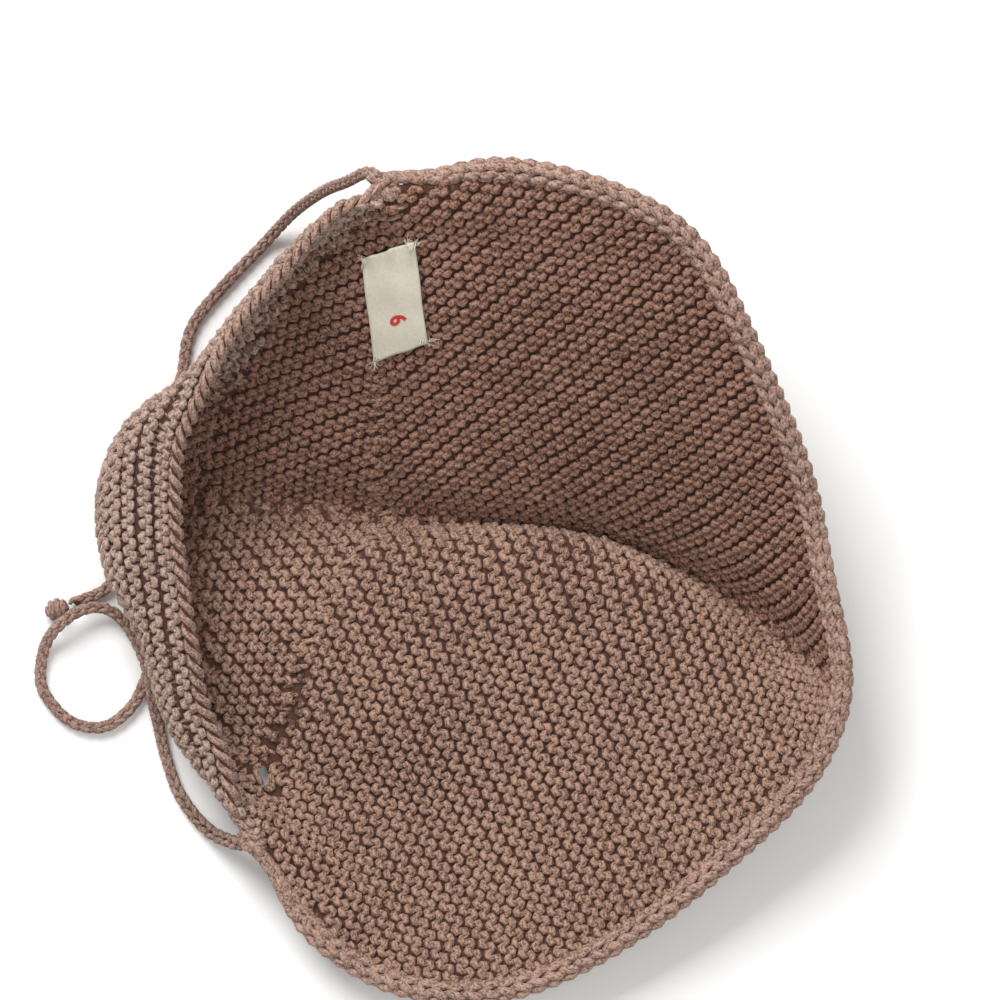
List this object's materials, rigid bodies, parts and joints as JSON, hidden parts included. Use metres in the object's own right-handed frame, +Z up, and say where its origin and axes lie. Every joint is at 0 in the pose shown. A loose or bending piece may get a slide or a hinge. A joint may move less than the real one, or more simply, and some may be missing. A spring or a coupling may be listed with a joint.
{
  "type": "baby bonnet",
  "caption": "Garter-knit baby bonnet with two tie cords, lying open with its hollow upwards: knitted walls, plaited face and neck edgings and a woven size label inside.",
  "frame": {"origin": "on the surface that the bonnet lies on, under the middle of its box without the ties", "axes": "+Z is up from that surface, +Y runs towards the upper chin corner, +X runs from the neck edge towards the face edge"},
  "size_m": [0.1877, 0.1944, 0.0665],
  "materials": {
    "knit": "soft matte wool knit",
    "plaited_edge": "soft matte wool knit",
    "woven_label": "matte woven tape",
    "knitted_cord": "soft matte wool cord"
  },
  "bodies": {
    "root": {"front_panel": "knit", "back_panel": "knit", "face_edging": "plaited_edge", "neck_edging": "plaited_edge", "size_label": "woven_label", "upper_tie": "knitted_cord", "upper_tie_knot": "knitted_cord", "lower_tie": "knitted_cord", "lower_tie_knot": "knitted_cord"}
  },
  "joints": []
}
